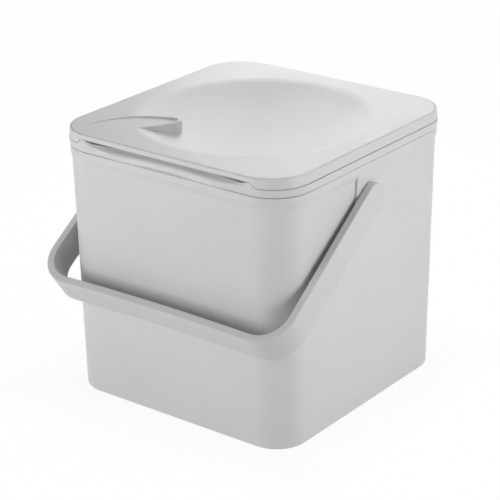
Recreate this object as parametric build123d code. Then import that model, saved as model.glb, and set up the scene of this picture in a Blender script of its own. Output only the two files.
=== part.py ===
from build123d import *
import os
from math import acos, atan2, cos, degrees, hypot, sin, sqrt

os.makedirs("parts", exist_ok=True)

# Countertop food waste caddy, in millimetres. It stands on the centre of its base, which is the
# origin. +Z is up, the front is -Y, and the lid opens at the front about a hinge along the back.

# Clearances
seat_gap = 0.3
rest_gap = 0.25
edge_gap = 0.2
running_gap = 0.05
stop_gap = 0.2
overrun = 5.0

# Bucket
base_width = 173.8
base_depth = 176.0
base_corner = 21.7
base_edge = 1.5
body_height = 168.3
wall = 2.0
floor_thickness = 2.4
inner_edge = 5.0
wall_taper = 1.9
rim_flare = 1.7
rim_flare_height = 4.5
rim_band = 4.3
rim_edge = 0.3
upstand_height = 2.9

# Pivot pads on the bucket's sides
pivot_y = -3.75
pivot_height = 145.6
pad_radius = 12.2
pad_edge = 0.8
socket_radius = 7.4

# Liner ring
ring_height = 5.4
ring_skirt = 2.1
ring_plate = 2.0
ring_width = 12.0
ring_bulge = 0.7
ring_foot = 0.1
collar_thickness = 1.6
collar_depth = 9.0
opening_corner = 16.0
ring_edge = 0.5
ring_foot_edge = 0.2

# Finger recess in the front of the liner ring, below the lip of the lid
recess_half_width = 66.5
recess_depth = 6.5
recess_foot = 2.2
recess_rise = 6.1
recess_fall = 4.3
slot_height = 1.9
slot_end = 8.0
block_half_width = 70.0
block_slope = 45.0
block_blend = 1.6

# Lid
lid_height = 6.55
lip_thickness = 3.3
lid_skirt = 2.3
lid_tuck = 0.6
lid_overhang = 1.7
lid_top_inset = 0.3
lid_corner = 27.4
lid_edge = 0.3
frame_rim = 0.8
frame_rim_step = 0.2
cover_thickness = 1.8
seat_relief = 0.3
seat_width = 5.0
rib_thickness = 1.6
rib_depth = 8.0
cover_edge = 0.4

# Dish in the top of the lid
dish_margin = 10.9
dish_depth = 14.0
dish_blend = 20.0

# Tongue that reaches from the front left corner into the dish, and the leaf recessed in it.
# Their lengths are measured along the diagonal from the rim of the dish.
tongue_angle = 45.0
tongue_reach = 29.0
tongue_root = 20.0
tongue_root_half = 13.2
tongue_shoulder_half = 12.4
tongue_tip_radius = 6.0
tongue_edge = 0.8
tongue_wall = 1.8
leaf_margin = 2.4
leaf_root = 30.0
leaf_belly_half = 10.4
leaf_tip_radius = 4.4
leaf_depth = 1.4
leaf_root_depth = 0.2

# Lid hinge
hinge_offset = 5.0
barrel_radius = 3.2
hinge_pin_radius = 1.5
hinge_pin_head_radius = 2.5
hinge_pin_head = 1.0
hinge_start = 20.0
ear_width = 6.0
knuckle_width = 15.2
knuckle_gap = 0.4
blind_wall = 1.5
lid_open_angle = 105.0
heel_width = 2.4
arm_root = 3.4
arm_bite = 0.7

# Carrying handle
handle_reach = 120.4
handle_strap = 20.2
handle_thickness = 5.0
handle_side_gap = 0.6
handle_splay = 1.8
handle_bend = 23.0
handle_bow = 1.9
handle_edge = 0.5
handle_stand_off = 3.4
handle_rest_gap = 0.4
stud_radius = 4.5
stud_head_radius = 5.3
stud_head = 1.3
stud_slot = 1.6

# Levels and outlines that the pieces share
flare_level = body_height - rim_band
wall_level = flare_level - rim_flare_height
upstand_level = body_height + upstand_height
ring_bottom = body_height + rest_gap
ring_top = body_height + ring_height
skirt_bottom = ring_top + rest_gap
lid_top = skirt_bottom + lid_height
flange_bottom = lid_top - lip_thickness
cover_bottom = lid_top - cover_thickness
block_top = flange_bottom - rest_gap
block_rise = block_top - ring_top
rim_grow = wall_taper + rim_flare
ring_grow = rim_grow + ring_bulge
top_grow = rim_grow - lid_top_inset
pad_face = base_width / 2 + rim_grow
front_face = base_depth / 2 + ring_grow
hinge_y = front_face + hinge_offset
hinge_z = (ring_bottom + ring_top) / 2
opening_grow = ring_grow - ring_width
dish_radius = min(base_width, base_depth) / 2 - dish_margin
tongue_tip = dish_radius - tongue_reach
leaf_tip = tongue_tip + leaf_margin
leaf_point = dish_radius + leaf_root


def outline(z, grow, overhang=0, corner=0):
    """Base outline grown on every side, at the level z."""
    radius = corner if corner else base_corner + grow
    return Pos(0, 0, z) * RectangleRounded(base_width + 2 * grow, base_depth + 2 * (grow + overhang), radius)


def lid_outline(z, grow):
    """Outline of the lid's top, drawn in or out from the frame's outer edge."""
    return outline(z, top_grow + grow, lid_overhang, lid_corner + grow)


def opening(z, grow):
    """Outline of the ring's opening, grown on every side, at the level z."""
    return outline(z, opening_grow + grow, corner=opening_corner + grow)


def column(bottom, top, shape, *sizes):
    """Straight prism of an outline between two levels."""
    return extrude(shape(bottom, *sizes), top - bottom)


def wall_grow(z):
    """How far the bucket's outer wall stands out from the base outline at the level z."""
    return wall_taper * z / wall_level


def both_sides(piece):
    """The piece and its mirror image across the centre plane."""
    return [piece, mirror(piece, Plane.YZ)]


def along_x(sketch, start, end):
    """Prism of a sketch, drawn in the plane of Y and Z, from one X to another."""
    return Pos(start, 0, 0) * extrude(Plane.YZ * sketch, end - start)


def disc(radius, y, z):
    """Circle for along_x at a place in the plane of Y and Z."""
    return Pos(y, z) * Circle(radius)


def pivot_pad():
    """Raised pad that carries one end of the handle, flush with the rim band."""
    top = Pos(pivot_y, (pivot_height + flare_level) / 2) * Rectangle(2 * pad_radius, flare_level - pivot_height)
    pad = along_x(disc(pad_radius, pivot_y, pivot_height) + top, pad_face - rim_flare - 2 * wall, pad_face)
    edges = pad.edges().filter_by_position(Axis.X, pad_face, pad_face).filter_by_position(
        Axis.Z, pivot_height - pad_radius, flare_level - pad_edge)
    return chamfer(edges, pad_edge)


def pivot_socket():
    """Hole for the handle's stud, with a recess behind it for the snap head."""
    hole = along_x(disc(stud_radius + running_gap, pivot_y, pivot_height), 0, pad_face + overrun)
    recess = along_x(disc(socket_radius, pivot_y, pivot_height), 0, pad_face - wall)
    return hole + recess


def caddy_body():
    """Open bucket with a flared rim, an upstand inside it and two pivot pads."""
    levels = [outline(0, 0), outline(wall_level, wall_taper, corner=base_corner), outline(flare_level, rim_grow)]
    outer = loft(levels + [outline(body_height, rim_grow)], ruled=True)
    outer = fillet(outer.faces().sort_by(Axis.Z)[0].edges(), base_edge)
    outer = fillet(outer.faces().sort_by(Axis.Z)[-1].edges(), rim_edge)
    upstand = column(flare_level, upstand_level, outline, ring_grow - ring_skirt - seat_gap)
    front_clear = Pos(0, -front_face, body_height) * Box(
        2 * (block_half_width + wall), 2 * ring_width, 2 * upstand_height,
        align=(Align.CENTER, Align.CENTER, Align.MIN))
    outer += upstand - front_clear
    outer += both_sides(pivot_pad())
    inner = loft([outline(floor_thickness, wall_grow(floor_thickness) - wall),
                  outline(wall_level, wall_taper - wall),
                  outline(upstand_level + overrun, wall_taper - wall)], ruled=True)
    inner = fillet(inner.faces().sort_by(Axis.Z)[0].edges(), inner_edge)
    return outer - inner - both_sides(pivot_socket())


def block_outline(gap):
    """Front of the liner ring with its raised block, in the plane of X and Z, grown by a gap."""
    reach = block_half_width + block_blend
    base = Pos(0, ring_bottom) * Rectangle(2 * reach, ring_top - ring_bottom, align=(Align.CENTER, Align.MIN))
    block = Pos(0, ring_top) * Trapezoid(
        2 * block_half_width, block_rise, block_slope, align=(Align.CENTER, Align.MIN))
    front = base + block
    corners = [v for v in front.vertices() if ring_top <= v.Y and abs(v.X) < reach]
    return offset(fillet(corners, block_blend), gap) if gap else fillet(corners, block_blend)


def recess_cutter():
    """Dent swept round a vertical axis in front of the caddy, as wide as the recess at its top."""
    face = (recess_half_width ** 2 - recess_depth ** 2) / (2 * recess_depth)
    deep = face + recess_depth
    shallow = face + recess_foot
    low = ring_bottom - overrun
    high = block_top + overrun
    dent = Bezier((shallow, ring_bottom), (shallow, ring_bottom + recess_rise),
                  (deep, block_top - recess_fall), (deep, block_top))
    sides = Polyline(dent @ 1, (deep, high), (0, high), (0, low), (shallow, low), dent @ 0)
    return Pos(0, -front_face - face, 0) * revolve(Plane.XZ * make_face([dent, sides]), Axis.Z)


def recess_slot():
    """Finger slot under the lid's lip, as deep as the recess all the way along, with sloping ends."""
    low = recess_half_width - slot_end
    floor = block_top - slot_height
    front = Polyline((-recess_half_width, block_top), (-low, floor), (low, floor),
                     (recess_half_width, block_top), (recess_half_width, block_top + overrun),
                     (-recess_half_width, block_top + overrun), close=True)
    return Pos(0, recess_depth - front_face, 0) * extrude(Plane.XZ * make_face(front), recess_depth + overrun)


def hinge_ear():
    """Outline of the liner ring's hinge ears, seen along the hinge."""
    web = Pos(hinge_y - hinge_offset / 2 - ring_skirt / 2, hinge_z) * Rectangle(
        hinge_offset + ring_skirt, ring_top - ring_bottom)
    return disc(barrel_radius, hinge_y, hinge_z) + web


def ring_hinge():
    """Inner and outer ear of the hinge on one side, bored for its pin."""
    bore = disc(hinge_pin_radius + running_gap, hinge_y, hinge_z)
    outer_start = hinge_start + ear_width + knuckle_width + 2 * knuckle_gap
    inner_ear = along_x(hinge_ear() - bore, hinge_start, hinge_start + ear_width)
    outer_ear = along_x(hinge_ear(), outer_start, outer_start + ear_width)
    return [inner_ear, outer_ear - along_x(bore, 0, outer_start + ear_width - blind_wall)]


def liner_ring():
    """Ring that holds the bag, with a finger recess in front and hinge ears at the back."""
    band = loft([outline(ring_bottom, rim_grow + ring_foot), outline(ring_top, ring_grow)], ruled=True)
    ring = fillet(band.faces().sort_by(Axis.Z)[-1].edges(), ring_edge)
    ring = fillet(ring.faces().sort_by(Axis.Z)[0].edges(), ring_foot_edge)
    channel = column(ring_bottom, ring_top - ring_plate, outline, ring_grow - ring_skirt)
    channel -= column(ring_bottom, ring_top, opening, collar_thickness)
    ring -= channel
    ring += column(ring_bottom - collar_depth, ring_top - ring_plate, opening, collar_thickness)
    block = extrude(Plane.XZ * block_outline(0), front_face)
    hollow = column(ring_bottom, ring_top - ring_plate, outline, ring_grow - recess_depth)
    hollow -= column(ring_bottom, ring_top, opening, collar_thickness)
    ring += (block & (band + column(ring_top, block_top, outline, ring_grow))) - hollow
    ring -= column(ring_bottom - collar_depth, block_top, opening, 0)
    ring -= recess_cutter() + recess_slot()
    for ear in ring_hinge():
        ring += both_sides(ear)
    return ring


def lid_arm():
    """Hinge arm of the lid frame on one side, with its knuckle and the heel that stops it."""
    root_y = front_face - arm_bite / 2
    root_z = cover_bottom - arm_root / 2
    root = Pos(root_y, root_z) * Rectangle(arm_bite, arm_root)
    arm = make_hull((disc(barrel_radius, hinge_y, hinge_z) + root).edges())
    heel_reach = hinge_offset - stop_gap
    heel = Pos(hinge_y, hinge_z) * Rot(0, 0, 180 + lid_open_angle) * Pos(heel_reach / 2, 0) * Rectangle(
        heel_reach, heel_width)
    bore = disc(hinge_pin_radius + running_gap, hinge_y, hinge_z)
    start = hinge_start + ear_width + knuckle_gap
    return along_x(arm + heel - bore, start, start + knuckle_width)


def lid_frame():
    """Skirt, flange and locating rib of the lid, with a notch over the finger recess."""
    skin = loft([outline(skirt_bottom, ring_grow - lid_tuck, lid_tuck),
                 lid_outline(lid_top - frame_rim_step, 0)], ruled=True)
    skin = fillet(skin.faces().sort_by(Axis.Z)[0].edges(), lid_edge)
    frame = skin - column(skirt_bottom, flange_bottom, outline, ring_grow - lid_skirt)
    frame -= column(cover_bottom, lid_top, lid_outline, -frame_rim)
    frame -= column(cover_bottom - seat_relief, lid_top, lid_outline, -frame_rim - seat_width)
    rib_grow = -seat_gap - edge_gap
    frame += column(flange_bottom - rib_depth, flange_bottom, opening, rib_grow)
    frame -= column(flange_bottom - rib_depth, lid_top, opening, rib_grow - rib_thickness)
    notch = Pos(0, ring_width - front_face, 0) * extrude(Plane.XZ * block_outline(rest_gap), ring_width + overrun)
    return frame - notch + both_sides(lid_arm())


def dish(thickness):
    """Bowl below the top face, with a softly rounded rim, enlarged by a wall thickness."""
    bowl_radius = (dish_radius ** 2 + dish_depth ** 2) / (2 * dish_depth)
    bowl_z = lid_top - dish_depth + bowl_radius
    blend_z = lid_top - dish_blend
    blend_r = sqrt((bowl_radius + dish_blend) ** 2 - (bowl_z - blend_z) ** 2)
    share = (bowl_radius + thickness) / (bowl_radius + dish_blend)
    meet = (blend_r * share, bowl_z + (blend_z - bowl_z) * share)
    half_angle = atan2(meet[0], bowl_z - meet[1]) / 2
    low = ((bowl_radius + thickness) * sin(half_angle), bowl_z - (bowl_radius + thickness) * cos(half_angle))
    bottom = (0, lid_top - dish_depth - thickness)
    rim = dish_blend - thickness
    rim_middle = (blend_r - rim * sin(half_angle), blend_z + rim * cos(half_angle))
    rim_end = (blend_r, blend_z + rim)
    top = lid_top + overrun
    curve = [ThreePointArc(bottom, low, meet), ThreePointArc(meet, rim_middle, rim_end)]
    sides = Polyline(rim_end, (blend_r, top), (0, top), bottom)
    return revolve(Plane.XZ * make_face(curve + [sides]), Axis.Z)


def teardrop(root, root_half, belly, belly_half, tip, tip_radius, inset):
    """Teardrop along +X from its root to a round tip, drawn in from its edge by an inset."""
    centre = -tip - tip_radius
    reach = tip_radius - inset
    side = ThreePointArc((-root, root_half), (-belly, belly_half - inset), (centre, reach))
    nose = ThreePointArc((centre, reach), (centre + reach, 0), (centre, -reach))
    other = mirror(side, Plane.XZ)
    edges = [side, nose, other]
    if root_half:
        edges.append(Line((-root, -root_half), (-root, root_half)))
    return make_face(edges)


def on_diagonal(sketch, bottom, top):
    """Prism of a sketch laid along the diagonal towards the front left corner."""
    return Pos(0, 0, bottom) * extrude(Rot(0, 0, tongue_angle) * sketch, top - bottom)


def leaf_cutter():
    """Leaf-shaped recess whose floor slopes down towards the tip of the tongue."""
    leaf = teardrop(leaf_point, 0, dish_radius, leaf_belly_half, leaf_tip, leaf_tip_radius, 0)
    slope = degrees(atan2(leaf_depth - leaf_root_depth, leaf_point - leaf_tip))
    place = Rot(0, 0, tongue_angle) * Pos(-leaf_tip, 0, lid_top - leaf_depth) * Rot(0, slope, 0)
    return place * Pos(leaf_tip, 0, 0) * extrude(leaf, overrun)


def lid_cover():
    """Top panel with the dish and the tongue, which has a leaf-shaped recess on it."""
    grow = -frame_rim - edge_gap
    panel = column(cover_bottom, lid_top, lid_outline, grow)
    panel = fillet(panel.faces().sort_by(Axis.Z)[-1].edges(), cover_edge)
    low = lid_top - 2 * dish_depth
    bowl = dish(cover_thickness) & column(low, cover_bottom, lid_outline, grow)
    root = dish_radius + tongue_root
    tongue = on_diagonal(
        teardrop(root, tongue_root_half, dish_radius, tongue_shoulder_half, tongue_tip, tongue_tip_radius, 0),
        low, lid_top)
    tongue = fillet(tongue.faces().sort_by(Axis.Z)[-1].edges(), tongue_edge)
    core = on_diagonal(
        teardrop(root, tongue_root_half - tongue_wall, dish_radius, tongue_shoulder_half,
                 tongue_tip, tongue_tip_radius, tongue_wall), low, lid_top - leaf_depth - tongue_wall)
    cover = panel + bowl - (dish(0) - tongue)
    return cover - (core & dish(cover_thickness)) - leaf_cutter()


def hinge_pin():
    """Headed pin of the hinge on the right side."""
    start = hinge_start - running_gap
    end = hinge_start + 2 * ear_width + knuckle_width + 2 * knuckle_gap - blind_wall - edge_gap
    shaft = along_x(disc(hinge_pin_radius, hinge_y, hinge_z), start, end)
    return shaft + along_x(disc(hinge_pin_head_radius, hinge_y, hinge_z), start - hinge_pin_head, start)


def handle_angle(room, side):
    """Angle below the horizontal at which the grip's lower edge leaves some room to the wall."""
    grip = handle_reach - handle_thickness
    corner = hypot(grip, handle_strap / 2)
    lean = atan2(wall_taper, wall_level)
    to_wall = (base_depth / 2 + side * pivot_y) * cos(lean) + pivot_height * sin(lean)
    return degrees(acos((to_wall + room) / corner) + lean - atan2(handle_strap / 2, grip))


def handle_area(grow):
    """Area inside the handle's strap, from its ends to its bowed grip, grown on every side."""
    root_x = pad_face + handle_side_gap + grow
    bend_x = root_x + handle_splay
    middle_y = handle_thickness - handle_reach - grow
    corner_y = middle_y - handle_bow
    grip = ThreePointArc((-bend_x, corner_y), (0, middle_y), (bend_x, corner_y))
    sides = Polyline(grip @ 1, (root_x, handle_strap / 2), (-root_x, handle_strap / 2), grip @ 0)
    area = make_face([grip, sides])
    return fillet(area.vertices().group_by(Axis.Y)[0], handle_bend - handle_thickness + grow)


def handle():
    """Bent flat strap with round ends, and a split stud inside each end."""
    strap = extrude(handle_area(handle_thickness) - handle_area(0), handle_strap / 2, both=True)
    side = disc(handle_strap / 2, 0, 0) + Pos(-handle_reach, 0) * Rectangle(2 * handle_reach, handle_strap)
    strap &= along_x(side, -2 * pad_face, 2 * pad_face)
    strap = fillet(strap.edges(), handle_edge)
    inner_face = pad_face + handle_side_gap
    head_x = pad_face - wall - seat_gap
    stud = along_x(disc(stud_radius, 0, 0), head_x, inner_face + handle_thickness / 2)
    stud += along_x(disc(stud_head_radius, 0, 0), head_x - stud_head, head_x)
    slot = Box(2 * (inner_face - head_x + stud_head), 2 * stud_head_radius, stud_slot)
    stud -= Pos(head_x - stud_head, 0, 0) * slot
    bail = strap + both_sides(stud)
    return Pos(0, pivot_y, pivot_height) * Rot(handle_angle(handle_stand_off, 1), 0, 0) * bail


pieces = {
    "caddy_body": caddy_body(),
    "liner_ring": liner_ring(),
    "lid_frame": lid_frame(),
    "lid_cover": lid_cover(),
    "hinge_pin_right": hinge_pin(),
    "hinge_pin_left": mirror(hinge_pin(), Plane.YZ),
    "handle": handle(),
}

for name, piece in pieces.items():
    export_step(piece, f"parts/{name}.step")

stand = handle_angle(handle_stand_off, 1)
front_rest = handle_angle(handle_rest_gap, 1)
back_rest = handle_angle(handle_rest_gap, -1)
print(f"handle hangs {stand:.2f} degrees below the horizontal")
print(f"it swings from {stand - front_rest:.2f} to {180 + stand + back_rest:.2f} degrees")
print(f"hinge axis at y {hinge_y:.2f} z {hinge_z:.3f}, lid top {lid_top:.2f}")
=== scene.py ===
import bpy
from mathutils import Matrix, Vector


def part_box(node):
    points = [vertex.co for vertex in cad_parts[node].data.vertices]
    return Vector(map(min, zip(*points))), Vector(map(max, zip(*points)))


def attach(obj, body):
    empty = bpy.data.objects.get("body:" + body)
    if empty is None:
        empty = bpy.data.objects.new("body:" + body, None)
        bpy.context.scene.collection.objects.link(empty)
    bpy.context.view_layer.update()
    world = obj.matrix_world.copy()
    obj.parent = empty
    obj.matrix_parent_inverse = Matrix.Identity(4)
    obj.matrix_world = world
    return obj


bl_info = {
    "name": "Food Waste Caddy",
    "version": (1, 0, 0),
    "blender": (4, 5, 0),
    "location": "View3D > Sidebar > Caddy",
    "description": "Gives a countertop food waste caddy its moulded plastic finish and sets up its studio",
    "category": "Object",
}

from math import cos, pi, radians, sin

import bpy
from bpy.props import (
    FloatProperty,
    FloatVectorProperty,
    PointerProperty,
)
from bpy.types import Operator, Panel, PropertyGroup
from mathutils import Matrix, Vector

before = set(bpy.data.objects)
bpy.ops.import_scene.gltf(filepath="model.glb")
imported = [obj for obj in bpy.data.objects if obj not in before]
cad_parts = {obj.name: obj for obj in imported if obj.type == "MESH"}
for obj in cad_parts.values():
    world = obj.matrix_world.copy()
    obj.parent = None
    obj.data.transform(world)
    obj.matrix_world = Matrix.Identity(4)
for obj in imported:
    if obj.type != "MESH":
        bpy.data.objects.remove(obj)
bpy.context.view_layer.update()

# Width of the camera's sensor in millimetres, for the photograph's square frame
SENSOR_WIDTH = 36.0

# The ring's front face, and the finger recess in it: half its width and its depth at the top, and
# its depth at the ring's foot
RING_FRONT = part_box("liner_ring")[0][1]
RECESS_HALF_WIDTH = 0.0665
RECESS_DEPTH = 0.0065
RECESS_FOOT_DEPTH = 0.0022

# The recess follows an arc round an upright axis in front of the caddy
RECESS_ARC = (RECESS_HALF_WIDTH**2 - RECESS_DEPTH**2) / (2 * RECESS_DEPTH)
RECESS_AXIS = RING_FRONT - RECESS_ARC

# Top of the bucket's rim, and the gap between it and the ring's foot
RIM_TOP = 0.1683
JOINT_GAP = 0.00025

# Lip along the foot of the recess: its clearance over the rim, the share of its arc that is drawn, the
# points along it, and its profile. A point of the profile is a share of the lip's width, inwards from
# the recess's face, and one of its height, where up is negative because the profile hangs from the arc
LIP_CLEARANCE = 0.00001
LIP_ARC_SHARE = 0.99
LIP_POINTS = 65
LIP_PROFILE_SHARES = ((0.6, 0.0), (-1.0, 0.0), (-0.36, -0.36), (0.36, -1.6))

# Ends of a mask that comes in, and of one that fades out
RISE = (0.0, 1.0)
FALL = (1.0, 0.0)

# Moulded surface: the scale and detail of its noises, the part of each that counts, how far they move
# the roughness, and what a rub mark does to the colour, the roughness and the grain
MOTTLE_NOISE = (22.0, 3.0)
MOTTLE_RANGE = (0.3, 0.7)
MOTTLE_ROUGHNESS = 0.04
FINE_NOISE = (240.0, 2.0)
FINE_RANGE = (0.3, 0.7)
FINE_ROUGHNESS = 0.03
GRAIN_DETAIL = 1.0
RUB_PALER = 0.04
RUB_ROUGHER = 0.15
RUB_WEAR = 0.5

# Rub marks: their patches, their streaks, and the turn and the stretch of the two sets of streaks
PATCH_NOISE = (18.0, 2.0)
PATCH_RANGE = (0.5, 0.65)
STREAK_NOISE = (1.0, 0.0)
STREAK_RANGE = (0.66, 0.72)
STREAKS = ((0.6, (60.0, 900.0, 200.0)), (2.2, (900.0, 80.0, 160.0)))

# Unevenness of the painted shade
PAINTED_SHADE_NOISE = (70.0, 2.0)
PAINTED_SHADE_RANGE = (0.35, 0.65)
PAINTED_SHADE_STRENGTH = (0.8, 1.0)

# Painted shade in the joint of ring and bucket, a dark line where the gap's shadow falls. It comes in past
# the flat faces and fades over the rounded edges, both measured up or down from the middle of the gap. It
# also comes in away from the middle of the front, and fades along the sides
JOINT_FLATS = (0.00013, 0.00017)
JOINT_EDGES = (0.00030, 0.00048)
JOINT_ASIDE = (0.037, 0.047)
JOINT_ALONG = (-0.078, -0.050)

# Painted shade in the finger slot under the lid's lip, measured up from the rim, outwards from the recess's
# ends, and back from the ring's front face and from the bottom of the recess
SLOT_LEVELS = (0.0037, 0.0050)
SLOT_ENDS = (-0.0065, 0.0)
SLOT_FRONT = (0.0008, 0.0023)
SLOT_BACK = (0.0001, 0.0006)

# Plastic: its index of refraction, and the samples that soften its edges
PLASTIC_IOR = 1.46
SOFTEN_SAMPLES = 6

WHITE = (1.0, 1.0, 1.0, 1.0)
PALE_GREY = (0.6, 0.6, 0.6, 1.0)

# Floor: its reach and its finish, and the share of white that the camera sees in it, between two
# distances from the middle of the caddy. Less white near the foot shows more of the real shadow and paints
# a faint grey halo of shade round the foot
FLOOR_REACH = 6.0
FLOOR_COLOUR = (0.85, 0.85, 0.85, 1.0)
FLOOR_ROUGHNESS = 0.9
FLOOR_FADE = (0.087, 0.140)
FLOOR_WHITE = (0.91, 0.985)

# Soft lamps, large ones far off and small ones near: how far from the caddy, the height that they look
# at, and the length of their sides
LARGE = {"distance": 1.1, "aim": 0.10, "size": 0.60}
SMALL = {"distance": 0.5, "aim": 0.12, "size": 0.25}

# Each lamp's name, kind, degrees round from the front to the right, degrees up, and power
LAMPS = (
    ("left_lamp", LARGE, -120, 40, 1.42),
    ("left_front_lamp", LARGE, -30, 3, 6.30),
    ("right_back_lamp", LARGE, 120, 40, 2.40),
    ("back_low_lamp", SMALL, -150, 25, 0.42),
    ("back_high_lamp", SMALL, -150, 45, 0.53),
    ("front_lamp", SMALL, 0, 25, 0.29),
    ("front_low_lamp", SMALL, 0, 8, 0.35),
    ("top_back_lamp", SMALL, 150, 65, 0.48),
    ("right_lamp", SMALL, 90, 8, 1.06),
)


def colour_property(default):
    """Colour of one piece's plastic."""
    return FloatVectorProperty(
        name="Colour",
        description="Colour of the plastic",
        subtype="COLOR",
        size=3,
        min=0.0,
        max=1.0,
        default=default,
    )


def roughness_property(default):
    """Roughness of one piece's plastic."""
    return FloatProperty(
        name="Roughness",
        description="Roughness of the moulded surface",
        subtype="FACTOR",
        min=0.0,
        max=1.0,
        default=default,
    )


def painted_shade_property(name, description, default):
    """Strength of the painted shade in one joint or slot."""
    return FloatProperty(
        name=name,
        description=description,
        subtype="FACTOR",
        min=0.0,
        max=1.0,
        default=default,
    )


class MouldedFinish:
    """What the finishes of all the moulded pieces share"""

    mottle: FloatProperty(
        name="Mottle",
        description="How much the colour varies over the surface",
        subtype="FACTOR",
        min=0.0,
        max=0.2,
        default=0.015,
    )
    grain_size: FloatProperty(
        name="Grain Size",
        description="Distance between the bumps of the moulded grain",
        unit="LENGTH",
        min=0.0001,
        max=0.01,
        default=0.0006,
    )
    grain_height: FloatProperty(
        name="Grain Height",
        description="Height of the moulded grain",
        unit="LENGTH",
        min=0.0,
        max=0.0005,
        default=0.000025,
    )
    scuffs: FloatProperty(
        name="Scuffs",
        description="How much the faint rub marks of use show",
        subtype="FACTOR",
        min=0.0,
        max=1.0,
        default=0.3,
    )
    edge_radius: FloatProperty(
        name="Edge Radius",
        description="Radius that the moulded edges are softened to",
        unit="LENGTH",
        min=0.0,
        max=0.002,
        default=0.0003,
    )


class BucketFinish(MouldedFinish, PropertyGroup):
    """Finish of the bucket"""

    colour: colour_property((0.620, 0.620, 0.629))
    roughness: roughness_property(0.46)
    # Painted shade: the joint with the ring is darkened at the front corners, where the gap's shadow falls
    joint_painted_shade: painted_shade_property("Joint Painted Shade", "How dark the joint with the ring is at the corners", 0.45)


class RingFinish(MouldedFinish, PropertyGroup):
    """Finish of the ring that holds the bag"""

    colour: colour_property((0.612, 0.612, 0.618))
    roughness: roughness_property(0.46)
    # Painted shade: the joint with the bucket is darkened at the front corners, where the gap's shadow
    # falls
    joint_painted_shade: painted_shade_property("Joint Painted Shade", "How dark the joint with the bucket is at the corners", 0.45)
    # Painted shade: the finger slot under the lid's lip is darkened where the lip shades it
    slot_painted_shade: painted_shade_property("Slot Painted Shade", "How dark the finger slot under the lid's lip is", 0.26)
    lip_width: FloatProperty(
        name="Lip Width",
        description="How far the lip along the foot of the finger recess stands out at its middle",
        unit="LENGTH",
        min=0.0005,
        max=0.00125,
        default=0.00125,
    )
    lip_height: FloatProperty(
        name="Lip Height",
        description="Height of the lip along the foot of the finger recess",
        unit="LENGTH",
        min=0.0005,
        max=0.003,
        default=0.0015,
    )


class LidFinish(MouldedFinish, PropertyGroup):
    """Finish of the lid's frame and its dished cover"""

    colour: colour_property((0.619, 0.620, 0.622))
    roughness: roughness_property(0.48)


class PinFinish(MouldedFinish, PropertyGroup):
    """Finish of the hinge pins"""

    colour: colour_property((0.600, 0.600, 0.605))
    roughness: roughness_property(0.35)


class HandleFinish(MouldedFinish, PropertyGroup):
    """Finish of the strap handle"""

    colour: colour_property((0.594, 0.591, 0.590))
    roughness: roughness_property(0.50)


class CaddyStudio(PropertyGroup):
    """Camera, floor and lamps"""

    azimuth: FloatProperty(
        name="Azimuth",
        description="How far the camera stands round to the right of the front",
        subtype="ANGLE",
        default=radians(37.339),
    )
    elevation: FloatProperty(
        name="Elevation",
        description="How far the camera looks down",
        subtype="ANGLE",
        default=radians(22.653),
    )
    roll: FloatProperty(
        name="Roll",
        description="Turn of the camera about its own line of sight",
        subtype="ANGLE",
        default=radians(-0.661),
    )
    distance: FloatProperty(
        name="Distance",
        description="Distance of the camera from the middle of the bucket",
        unit="LENGTH",
        default=1.25307,
    )
    slide_right: FloatProperty(
        name="Slide Right",
        description="How far the camera is slid to its right",
        unit="LENGTH",
        default=0.00486,
    )
    slide_up: FloatProperty(
        name="Slide Up",
        description="How far the camera is slid up",
        unit="LENGTH",
        default=-0.00278,
    )
    lens: FloatProperty(
        name="Lens",
        description="Focal length",
        subtype="DISTANCE_CAMERA",
        default=137.30,
    )
    shift: FloatVectorProperty(
        name="Shift",
        description="Shift of the lens that frames the caddy as in the photograph",
        size=2,
        default=(-0.02854, 0.00024),
    )
    aim_height: FloatProperty(
        name="Aim Height",
        description="Height of the point that the camera is set out from",
        unit="LENGTH",
        default=0.09,
    )
    lamp_level: FloatProperty(
        name="Lamp Level",
        description="Scales the power of every lamp",
        min=0.0,
        default=1.0,
    )
    ambient: FloatProperty(
        name="Ambient",
        description="Strength of the even light from all round",
        min=0.0,
        default=0.0,
    )


class CaddySettings(PropertyGroup):
    """Everything that can be changed about the caddy's looks"""

    bucket: PointerProperty(type=BucketFinish)
    ring: PointerProperty(type=RingFinish)
    lid: PointerProperty(type=LidFinish)
    pins: PointerProperty(type=PinFinish)
    handle: PointerProperty(type=HandleFinish)
    studio: PointerProperty(type=CaddyStudio)


def socket(group, name, kind, way, default=None):
    """Named socket of a node group."""
    made = group.interface.new_socket(name=name, in_out=way, socket_type=kind)
    if default is not None:
        made.default_value = default
    return made


def math_node(tree, operation, first, second=None, third=None):
    """Math node whose inputs are numbers or the outputs of other nodes."""
    node = tree.nodes.new("ShaderNodeMath")
    node.operation = operation
    for entry, value in zip(node.inputs, (first, second, third)):
        if hasattr(value, "is_output"):
            tree.links.new(value, entry)
        elif value is not None:
            entry.default_value = value
    return node.outputs["Value"]


def noise(tree, vector, scale, detail):
    """Noise texture, whose scale is a number or the output of another node."""
    node = tree.nodes.new("ShaderNodeTexNoise")
    node.inputs["Detail"].default_value = detail
    tree.links.new(vector, node.inputs["Vector"])
    if hasattr(scale, "is_output"):
        tree.links.new(scale, node.inputs["Scale"])
    else:
        node.inputs["Scale"].default_value = scale
    return node.outputs["Fac"]


def spread(tree, value, span, ends):
    """Map Range node from one pair of values to another."""
    node = tree.nodes.new("ShaderNodeMapRange")
    for name, setting in zip(("From Min", "From Max", "To Min", "To Max"), (*span, *ends)):
        node.inputs[name].default_value = setting
    tree.links.new(value, node.inputs["Value"])
    return node.outputs["Result"]


def scaled(tree, vector, amount):
    """Vector or colour scaled by the output of another node."""
    node = tree.nodes.new("ShaderNodeVectorMath")
    node.operation = "SCALE"
    tree.links.new(vector, node.inputs[0])
    tree.links.new(amount, node.inputs["Scale"])
    return node.outputs["Vector"]


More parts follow.
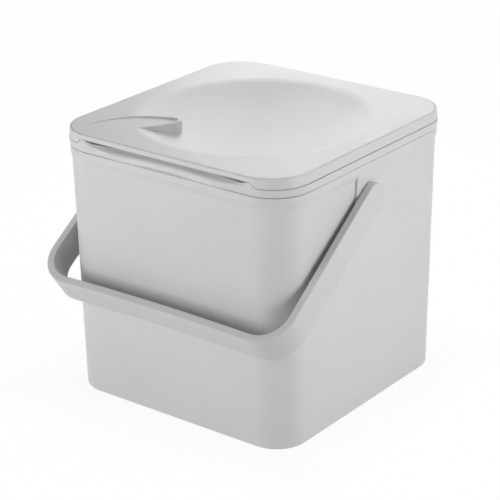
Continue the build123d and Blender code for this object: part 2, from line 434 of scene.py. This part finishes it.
def shared_group(name, build, *values):
    """Shader group of this name, built the first time that a material needs it."""
    group = bpy.data.node_groups.get(name)
    if group is None:
        group = bpy.data.node_groups.new(name, "ShaderNodeTree")
        build(group, *values)
    return group


def rub_marks(group):
    """Faint rub marks: short thin streaks two ways, gathered in patches."""
    socket(group, "Vector", "NodeSocketVector", "INPUT")
    socket(group, "Mask", "NodeSocketFloat", "OUTPUT")
    entry = group.nodes.new("NodeGroupInput")
    out = group.nodes.new("NodeGroupOutput")
    patches = spread(group, noise(group, entry.outputs["Vector"], *PATCH_NOISE), PATCH_RANGE, RISE)
    streaks = None
    for turn, stretch in STREAKS:
        place = group.nodes.new("ShaderNodeMapping")
        place.inputs["Rotation"].default_value = (0.0, turn / 2, turn)
        place.inputs["Scale"].default_value = stretch
        group.links.new(entry.outputs["Vector"], place.inputs["Vector"])
        thin = spread(group, noise(group, place.outputs["Vector"], *STREAK_NOISE), STREAK_RANGE, RISE)
        streaks = thin if streaks is None else math_node(group, "MAXIMUM", streaks, thin)
    group.links.new(math_node(group, "MULTIPLY", streaks, patches), out.inputs["Mask"])


def satin_grain(group):
    """Moulded plastic surface: slow mottle, a fine even grain and rub marks."""
    socket(group, "Vector", "NodeSocketVector", "INPUT")
    socket(group, "Colour", "NodeSocketColor", "INPUT", PALE_GREY)
    socket(group, "Roughness", "NodeSocketFloat", "INPUT", 0.45)
    socket(group, "Mottle", "NodeSocketFloat", "INPUT", 0.03)
    socket(group, "Grain Size", "NodeSocketFloat", "INPUT", 0.0006)
    socket(group, "Scuffs", "NodeSocketFloat", "INPUT", 0.3)
    socket(group, "Colour", "NodeSocketColor", "OUTPUT")
    socket(group, "Roughness", "NodeSocketFloat", "OUTPUT")
    socket(group, "Height", "NodeSocketFloat", "OUTPUT")
    entry = group.nodes.new("NodeGroupInput")
    out = group.nodes.new("NodeGroupOutput")
    vector = entry.outputs["Vector"]

    rubs = group.nodes.new("ShaderNodeGroup")
    rubs.node_tree = shared_group("Rub Marks", rub_marks)
    group.links.new(vector, rubs.inputs["Vector"])
    worn = math_node(group, "MULTIPLY", rubs.outputs["Mask"], entry.outputs["Scuffs"])

    # The colour drifts slowly over the surface and is a little paler where it is rubbed
    swing = spread(group, noise(group, vector, *MOTTLE_NOISE), MOTTLE_RANGE, (-1.0, 1.0))
    amount = math_node(group, "MULTIPLY_ADD", swing, entry.outputs["Mottle"], 1.0)
    amount = math_node(group, "MULTIPLY_ADD", worn, RUB_PALER, amount)
    group.links.new(scaled(group, entry.outputs["Colour"], amount), out.inputs["Colour"])

    # The roughness drifts with it and has a finer swing of its own, and a rub mark is rougher
    fine = noise(group, vector, *FINE_NOISE)
    fine = spread(group, fine, FINE_RANGE, (-FINE_ROUGHNESS, FINE_ROUGHNESS))
    rough = math_node(group, "MULTIPLY_ADD", swing, MOTTLE_ROUGHNESS, entry.outputs["Roughness"])
    rough = math_node(group, "ADD", rough, fine)
    rough = math_node(group, "MULTIPLY_ADD", worn, RUB_ROUGHER, rough)
    group.links.new(rough, out.inputs["Roughness"])

    # The grain lies lower where the surface is rubbed
    frequency = math_node(group, "DIVIDE", 1.0, entry.outputs["Grain Size"])
    grain = noise(group, vector, frequency, GRAIN_DETAIL)
    group.links.new(math_node(group, "MULTIPLY_ADD", worn, -RUB_WEAR, grain), out.inputs["Height"])


def painted_shade_group(group, masks):
    """Painted shade, faint and uneven, which darkens a colour where every mask made from the place is up.
    """
    socket(group, "Vector", "NodeSocketVector", "INPUT")
    socket(group, "Colour", "NodeSocketColor", "INPUT", PALE_GREY)
    socket(group, "Amount", "NodeSocketFloat", "INPUT", 0.3)
    socket(group, "Colour", "NodeSocketColor", "OUTPUT")
    entry = group.nodes.new("NodeGroupInput")
    out = group.nodes.new("NodeGroupOutput")
    place = group.nodes.new("ShaderNodeSeparateXYZ")
    group.links.new(entry.outputs["Vector"], place.inputs["Vector"])
    uneven = noise(group, entry.outputs["Vector"], *PAINTED_SHADE_NOISE)
    uneven = spread(group, uneven, PAINTED_SHADE_RANGE, PAINTED_SHADE_STRENGTH)
    shade = math_node(group, "MULTIPLY", uneven, entry.outputs["Amount"])
    for mask in masks(group, *(place.outputs[axis] for axis in "XYZ")):
        shade = math_node(group, "MULTIPLY", shade, mask)
    left = math_node(group, "SUBTRACT", 1.0, shade)
    group.links.new(scaled(group, entry.outputs["Colour"], left), out.inputs["Colour"])


def joint_masks(group, x, y, z):
    """Masks for the painted shade on the two rounded edges in the joint of ring and bucket, near the front
    corners.
    """
    up = math_node(group, "SUBTRACT", z, RIM_TOP + JOINT_GAP / 2)
    off = math_node(group, "ABSOLUTE", up)
    aside = math_node(group, "ABSOLUTE", x)
    return [
        spread(group, off, JOINT_FLATS, RISE),
        spread(group, off, JOINT_EDGES, FALL),
        spread(group, aside, JOINT_ASIDE, RISE),
        spread(group, y, JOINT_ALONG, FALL),
    ]


def slot_masks(group, x, y, z):
    """Masks for the painted shade in the finger slot, at the top of the recess under the lid's lip."""
    up = math_node(group, "SUBTRACT", z, RIM_TOP)
    aside = math_node(group, "ABSOLUTE", x)
    past_end = math_node(group, "SUBTRACT", aside, RECESS_HALF_WIDTH)
    past_front = math_node(group, "SUBTRACT", y, RING_FRONT)
    past_bottom = math_node(group, "SUBTRACT", y, RING_FRONT + RECESS_DEPTH)
    return [
        spread(group, up, SLOT_LEVELS, RISE),
        spread(group, past_end, SLOT_ENDS, FALL),
        spread(group, past_front, SLOT_FRONT, RISE),
        spread(group, past_bottom, SLOT_BACK, FALL),
    ]


# Each painted shade's strength among a finish's settings, its group's name, and where it lies
PAINTED_SHADES = (
    ("joint_painted_shade", "Joint Painted Shade", joint_masks),
    ("slot_painted_shade", "Slot Painted Shade", slot_masks),
)


def plastic(name, finish):
    """Material for one moulded piece, with the painted shade that its finish has."""
    material = bpy.data.materials.new(name)
    material.use_nodes = True
    nodes, links = material.node_tree.nodes, material.node_tree.links
    shader = nodes["Principled BSDF"]
    shader.inputs["IOR"].default_value = PLASTIC_IOR

    place = nodes.new("ShaderNodeTexCoord")
    surface = nodes.new("ShaderNodeGroup")
    surface.node_tree = shared_group("Satin Grain", satin_grain)
    surface.inputs["Colour"].default_value = (*finish.colour, 1.0)
    surface.inputs["Roughness"].default_value = finish.roughness
    surface.inputs["Mottle"].default_value = finish.mottle
    surface.inputs["Grain Size"].default_value = finish.grain_size
    surface.inputs["Scuffs"].default_value = finish.scuffs
    links.new(place.outputs["Object"], surface.inputs["Vector"])
    colour = surface.outputs["Colour"]
    # Painted shade darkens the colour in the joint and the finger slot, where the finish has it
    for strength, title, masks in PAINTED_SHADES:
        if hasattr(finish, strength):
            painted_shade_node = nodes.new("ShaderNodeGroup")
            painted_shade_node.node_tree = shared_group(title, painted_shade_group, masks)
            painted_shade_node.inputs["Amount"].default_value = getattr(finish, strength)
            links.new(place.outputs["Object"], painted_shade_node.inputs["Vector"])
            links.new(colour, painted_shade_node.inputs["Colour"])
            colour = painted_shade_node.outputs["Colour"]
    links.new(colour, shader.inputs["Base Color"])
    links.new(surface.outputs["Roughness"], shader.inputs["Roughness"])

    soften = nodes.new("ShaderNodeBevel")
    soften.samples = SOFTEN_SAMPLES
    soften.inputs["Radius"].default_value = finish.edge_radius
    bump = nodes.new("ShaderNodeBump")
    bump.inputs["Strength"].default_value = 1.0
    bump.inputs["Distance"].default_value = finish.grain_height
    links.new(surface.outputs["Height"], bump.inputs["Height"])
    links.new(soften.outputs["Normal"], bump.inputs["Normal"])
    links.new(bump.outputs["Normal"], shader.inputs["Normal"])
    return material


def foot_lip_tree():
    """Geometry Nodes tree for the lip that runs along the foot of the finger recess."""
    tree = bpy.data.node_groups.new("Recess Foot Lip", "GeometryNodeTree")
    socket(tree, "Radius", "NodeSocketFloat", "INPUT")
    socket(tree, "Width", "NodeSocketFloat", "INPUT")
    socket(tree, "Height", "NodeSocketFloat", "INPUT")
    socket(tree, "Middle", "NodeSocketVector", "INPUT")
    socket(tree, "Material", "NodeSocketMaterial", "INPUT")
    socket(tree, "Geometry", "NodeSocketGeometry", "OUTPUT")
    nodes, links = tree.nodes, tree.links
    entry = nodes.new("NodeGroupInput")
    out = nodes.new("NodeGroupOutput")
    radius, width, height = (entry.outputs[name] for name in ("Radius", "Width", "Height"))

    # The arc ends where it comes out to the rim, and the lip thins towards both its ends
    rim = math_node(tree, "SUBTRACT", radius, width)
    half = math_node(tree, "ARCCOSINE", math_node(tree, "DIVIDE", rim, radius))
    half = math_node(tree, "MULTIPLY", half, LIP_ARC_SHARE)
    arc = nodes.new("GeometryNodeCurveArc")
    arc.mode = "RADIUS"
    arc.inputs["Resolution"].default_value = LIP_POINTS
    links.new(radius, arc.inputs["Radius"])
    links.new(math_node(tree, "SUBTRACT", pi / 2, half), arc.inputs["Start Angle"])
    links.new(math_node(tree, "MULTIPLY", half, 2.0), arc.inputs["Sweep Angle"])
    here = nodes.new("ShaderNodeSeparateXYZ")
    links.new(nodes.new("GeometryNodeInputPosition").outputs["Position"], here.inputs["Vector"])
    reach = math_node(tree, "DIVIDE", math_node(tree, "MULTIPLY", rim, radius), here.outputs["Y"])
    thin = math_node(tree, "DIVIDE", math_node(tree, "SUBTRACT", radius, reach), width)

    profile = nodes.new("GeometryNodeCurvePrimitiveQuadrilateral")
    profile.mode = "POINTS"
    for number, (across, up) in enumerate(LIP_PROFILE_SHARES, 1):
        corner = nodes.new("ShaderNodeCombineXYZ")
        links.new(math_node(tree, "MULTIPLY", width, across), corner.inputs["X"])
        links.new(math_node(tree, "MULTIPLY", height, up), corner.inputs["Y"])
        links.new(corner.outputs["Vector"], profile.inputs[f"Point {number}"])

    lip = nodes.new("GeometryNodeCurveToMesh")
    lip.inputs["Fill Caps"].default_value = True
    links.new(arc.outputs["Curve"], lip.inputs["Curve"])
    links.new(profile.outputs["Curve"], lip.inputs["Profile Curve"])
    links.new(thin, lip.inputs["Scale"])
    flat = nodes.new("GeometryNodeSetShadeSmooth")
    flat.inputs["Shade Smooth"].default_value = False
    links.new(lip.outputs["Mesh"], flat.inputs["Geometry"])
    shift = nodes.new("GeometryNodeTransform")
    links.new(flat.outputs["Geometry"], shift.inputs["Geometry"])
    links.new(entry.outputs["Middle"], shift.inputs["Translation"])
    real = nodes.new("GeometryNodeRealizeInstances")
    links.new(shift.outputs["Geometry"], real.inputs["Geometry"])
    finish = nodes.new("GeometryNodeSetMaterial")
    links.new(real.outputs["Geometry"], finish.inputs["Geometry"])
    links.new(entry.outputs["Material"], finish.inputs["Material"])
    links.new(finish.outputs["Geometry"], out.inputs["Geometry"])
    return tree


def grown(name, tree, values):
    """Plain mesh object made by a Geometry Nodes tree with the given values of its inputs."""
    seed = bpy.data.objects.new(name, bpy.data.meshes.new(name))
    bpy.context.scene.collection.objects.link(seed)
    modifier = seed.modifiers.new(name, "NODES")
    modifier.node_group = tree
    for entry in tree.interface.items_tree:
        if entry.in_out == "INPUT" and entry.name in values:
            modifier[entry.identifier] = values[entry.name]
    evaluated = seed.evaluated_get(bpy.context.evaluated_depsgraph_get())
    mesh = bpy.data.meshes.new_from_object(evaluated)
    seed.modifiers.remove(modifier)
    seed.data = mesh
    mesh.name = name
    return seed


def dress(node, material):
    """Puts a material on a node of the frame."""
    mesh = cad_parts[node].data
    mesh.materials.clear()
    mesh.materials.append(material)


class CADDY_OT_bucket(Operator):
    """Finish the bucket"""

    bl_idname = "caddy.bucket"
    bl_label = "Bucket"

    def execute(self, context):
        dress("caddy_body", plastic("satin_bucket", context.scene.caddy.bucket))
        return {"FINISHED"}


class CADDY_OT_liner_ring(Operator):
    """Finish the ring that holds the bag, and lay the lip along the foot of its finger recess"""

    bl_idname = "caddy.liner_ring"
    bl_label = "Liner Ring"

    def execute(self, context):
        finish = context.scene.caddy.ring
        material = plastic("satin_ring", finish)
        dress("liner_ring", material)
        values = {
            "Radius": RECESS_ARC + RECESS_FOOT_DEPTH,
            "Width": finish.lip_width,
            "Height": finish.lip_height,
            "Middle": (0.0, RECESS_AXIS, RIM_TOP + LIP_CLEARANCE),
            "Material": material,
        }
        lip = grown("recess_foot_lip", foot_lip_tree(), values)
        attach(lip, "ring")
        return {"FINISHED"}


class CADDY_OT_lid(Operator):
    """Finish the lid's frame and its dished cover"""

    bl_idname = "caddy.lid"
    bl_label = "Lid"

    def execute(self, context):
        material = plastic("satin_lid", context.scene.caddy.lid)
        dress("lid_frame", material)
        dress("lid_cover", material)
        return {"FINISHED"}


class CADDY_OT_hinge_pins(Operator):
    """Finish the two hinge pins"""

    bl_idname = "caddy.hinge_pins"
    bl_label = "Hinge Pins"

    def execute(self, context):
        material = plastic("satin_pins", context.scene.caddy.pins)
        dress("hinge_pin_left", material)
        dress("hinge_pin_right", material)
        return {"FINISHED"}


class CADDY_OT_handle(Operator):
    """Finish the strap handle"""

    bl_idname = "caddy.handle"
    bl_label = "Handle"

    def execute(self, context):
        dress("handle", plastic("satin_handle", context.scene.caddy.handle))
        return {"FINISHED"}


def outward(azimuth, elevation):
    """Direction out from the caddy, turned from the front to the right and then up."""
    return Vector((sin(azimuth) * cos(elevation), -cos(azimuth) * cos(elevation), sin(elevation)))


def soft_lamp(name, kind, azimuth, elevation, power):
    """Square area lamp that looks at the caddy from a direction given in degrees."""
    back = outward(radians(azimuth), radians(elevation))
    data = bpy.data.lights.new(name, "AREA")
    data.shape = "SQUARE"
    data.size = kind["size"]
    data.energy = power
    lamp = bpy.data.objects.new(name, data)
    lamp.location = Vector((0.0, 0.0, kind["aim"])) + kind["distance"] * back
    lamp.rotation_euler = (-back).to_track_quat("-Z", "Y").to_euler()
    lamp.visible_camera = False
    bpy.context.scene.collection.objects.link(lamp)


def white_to_camera(tree, lit, white_share):
    """Mixes a lit shader with plain white, for camera and mirror rays only."""
    nodes, links = tree.nodes, tree.links
    rays = nodes.new("ShaderNodeLightPath")
    seen = rays.outputs["Is Camera Ray"]
    for kind in ("Is Glossy Ray", "Is Transmission Ray"):
        seen = math_node(tree, "MAXIMUM", seen, rays.outputs[kind])
    share = math_node(tree, "MULTIPLY", seen, white_share)
    white = nodes.new("ShaderNodeEmission")
    white.inputs["Color"].default_value = WHITE
    white.inputs["Strength"].default_value = 1.0
    mix = nodes.new("ShaderNodeMixShader")
    links.new(share, mix.inputs["Fac"])
    links.new(lit, mix.inputs[1])
    links.new(white.outputs["Emission"], mix.inputs[2])
    return mix.outputs["Shader"]


class CADDY_OT_studio(Operator):
    """Set up the camera, the floor and the lamps"""

    bl_idname = "caddy.studio"
    bl_label = "Studio"

    def execute(self, context):
        studio = context.scene.caddy.studio
        self.camera(context, studio)
        self.floor(context)
        self.world(context, studio)
        for name, kind, azimuth, elevation, power in LAMPS:
            soft_lamp(name, kind, azimuth, elevation, power * studio.lamp_level)
        context.scene.view_settings.view_transform = "Standard"
        return {"FINISHED"}

    def camera(self, context, studio):
        """Camera at the photograph's viewing angle."""
        back = outward(studio.azimuth, studio.elevation)
        level = Vector((cos(studio.azimuth), sin(studio.azimuth), 0.0))
        rise = back.cross(level)
        right = cos(studio.roll) * level + sin(studio.roll) * rise
        up = -sin(studio.roll) * level + cos(studio.roll) * rise
        data = bpy.data.cameras.new("camera")
        data.sensor_width = SENSOR_WIDTH
        data.lens = studio.lens
        data.shift_x, data.shift_y = studio.shift
        camera = bpy.data.objects.new("camera", data)
        camera.matrix_world = Matrix((right, up, back)).transposed().to_4x4()
        camera.location = (
            Vector((0.0, 0.0, studio.aim_height))
            + studio.distance * back
            + studio.slide_right * right
            + studio.slide_up * up
        )
        context.scene.collection.objects.link(camera)
        context.scene.camera = camera

    def floor(self, context):
        """Wide pale floor that the caddy stands on."""
        mesh = bpy.data.meshes.new("floor")
        corners = [(x * FLOOR_REACH, y * FLOOR_REACH, 0) for x, y in ((-1, -1), (1, -1), (1, 1), (-1, 1))]
        mesh.from_pydata(corners, [], [(0, 1, 2, 3)])
        floor = bpy.data.objects.new("floor", mesh)
        context.scene.collection.objects.link(floor)
        material = bpy.data.materials.new("pale_floor")
        material.use_nodes = True
        tree = material.node_tree
        shader = tree.nodes["Principled BSDF"]
        shader.inputs["Base Color"].default_value = FLOOR_COLOUR
        shader.inputs["Roughness"].default_value = FLOOR_ROUGHNESS
        shader.inputs["Specular IOR Level"].default_value = 0.0

        # The lit floor shows more near the caddy's foot, where its real shadow lies, and paints a grey halo
        # of shade there
        place = tree.nodes.new("ShaderNodeSeparateXYZ")
        here = tree.nodes.new("ShaderNodeTexCoord").outputs["Object"]
        tree.links.new(here, place.inputs["Vector"])
        across = math_node(tree, "ABSOLUTE", place.outputs["X"])
        along = math_node(tree, "ABSOLUTE", place.outputs["Y"])
        away = math_node(tree, "MAXIMUM", across, along)
        share = spread(tree, away, FLOOR_FADE, FLOOR_WHITE)
        result = white_to_camera(tree, shader.outputs["BSDF"], share)
        tree.links.new(result, tree.nodes["Material Output"].inputs["Surface"])
        mesh.materials.append(material)

    def world(self, context, studio):
        """Even light from all round, white to the camera."""
        world = bpy.data.worlds.new("studio")
        context.scene.world = world
        world.use_nodes = True
        tree = world.node_tree
        around = tree.nodes["Background"]
        around.inputs["Color"].default_value = WHITE
        around.inputs["Strength"].default_value = studio.ambient
        result = white_to_camera(tree, around.outputs["Background"], 1.0)
        tree.links.new(result, tree.nodes["World Output"].inputs["Surface"])


class CADDY_PT_sidebar(Panel):
    """Sidebar list of the caddy's pieces and its studio"""

    bl_idname = "CADDY_PT_sidebar"
    bl_label = "Food Waste Caddy"
    bl_space_type = "VIEW_3D"
    bl_region_type = "UI"
    bl_category = "Caddy"

    def draw(self, context):
        column = self.layout.column(align=True)
        for operator in OPERATORS:
            column.operator(operator.bl_idname)
        settings = context.scene.caddy
        for part in ("bucket", "ring", "lid", "pins", "handle", "studio"):
            group = getattr(settings, part)
            box = self.layout.box()
            box.label(text=part.capitalize())
            for each in group.bl_rna.properties:
                if each.identifier not in ("rna_type", "name"):
                    box.prop(group, each.identifier)


OPERATORS = (
    CADDY_OT_bucket,
    CADDY_OT_liner_ring,
    CADDY_OT_lid,
    CADDY_OT_hinge_pins,
    CADDY_OT_handle,
    CADDY_OT_studio,
)

CLASSES = (
    BucketFinish,
    RingFinish,
    LidFinish,
    PinFinish,
    HandleFinish,
    CaddyStudio,
    CaddySettings,
    *OPERATORS,
    CADDY_PT_sidebar,
)


def register():
    for each in CLASSES:
        bpy.utils.register_class(each)
    bpy.types.Scene.caddy = PointerProperty(type=CaddySettings)


def unregister():
    del bpy.types.Scene.caddy
    for each in reversed(CLASSES):
        bpy.utils.unregister_class(each)


def main():
    """Runs every operator in order."""
    register()
    for operator in OPERATORS:
        group, name = operator.bl_idname.split(".")
        getattr(getattr(bpy.ops, group), name)()


if __name__ == "__main__":
    main()
